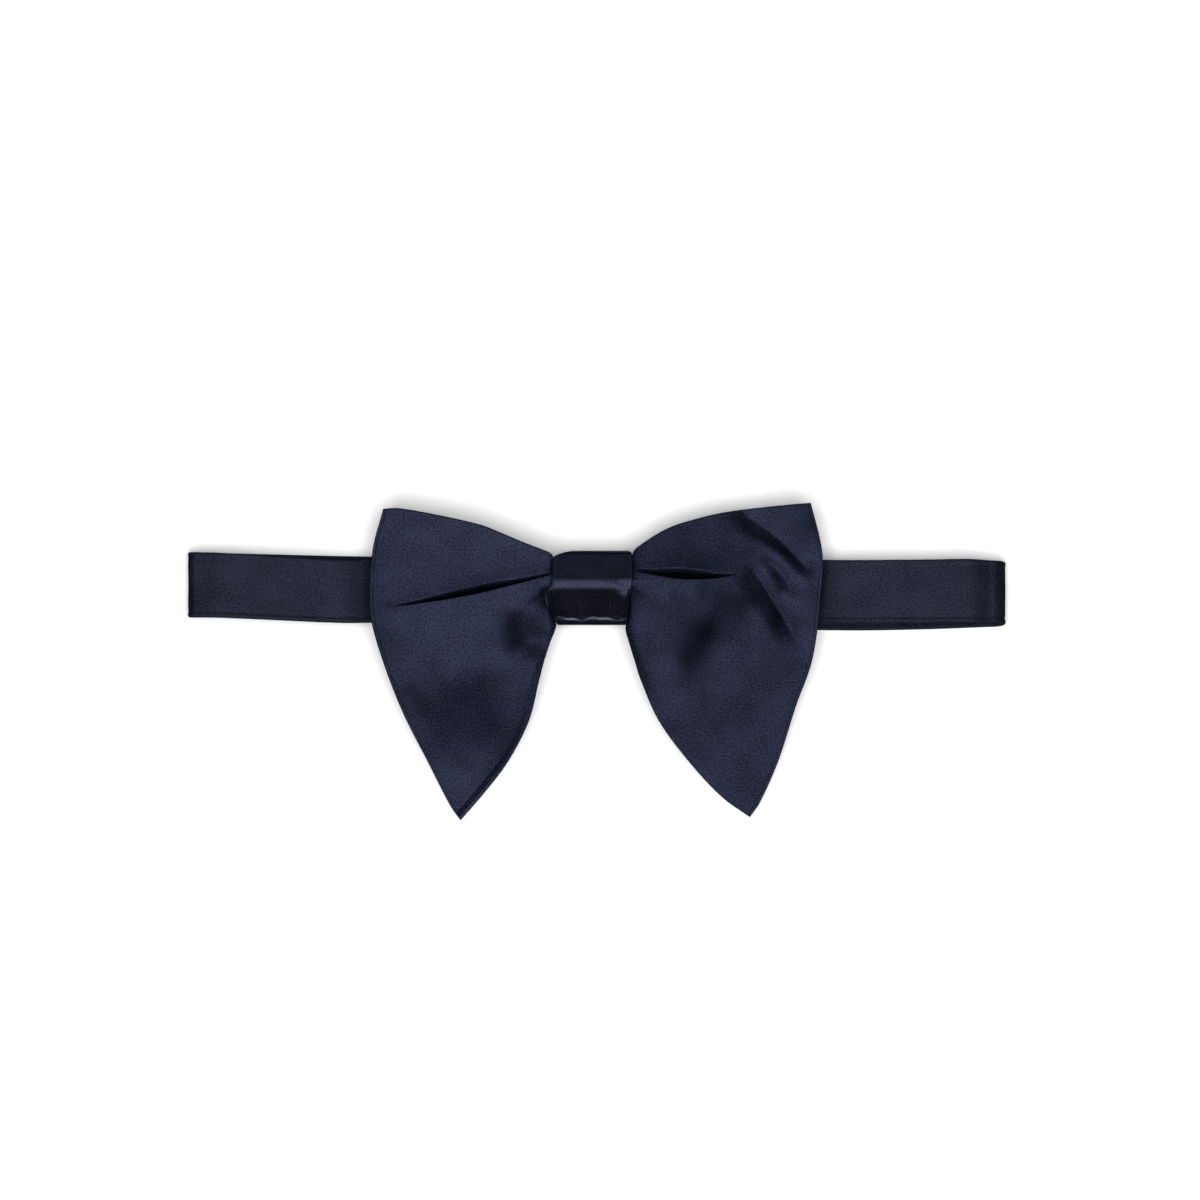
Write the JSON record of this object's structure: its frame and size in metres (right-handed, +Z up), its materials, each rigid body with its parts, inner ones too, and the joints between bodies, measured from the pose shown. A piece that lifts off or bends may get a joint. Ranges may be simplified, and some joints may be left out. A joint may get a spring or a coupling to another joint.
{
  "type": "butterfly bow tie",
  "caption": "Satin butterfly bow tie with long pointed ends, a wrapped knot and a closed neckband, tied ready and lying flat on its back.",
  "frame": {"origin": "On the surface that the bow tie lies on, under the middle of its whole outline.", "axes": "+X along the neckband to the right of the front view, +Y from the points of the wings to their upper corners, +Z up through the front face"},
  "size_m": [0.221, 0.0858, 0.0165],
  "materials": {
    "wing_satin": "dark navy satin, soft sheen",
    "knot_satin": "dark navy satin, pulled tight and a little glossier",
    "band_satin": "dark navy satin strap, pressed flat, duller",
    "clasp_metal": "dark lacquer"
  },
  "bodies": {
    "root": {"left_wing": "wing_satin", "right_wing": "wing_satin", "knot": "knot_satin", "neckband": "band_satin", "clasp": "clasp_metal"}
  },
  "joints": []
}
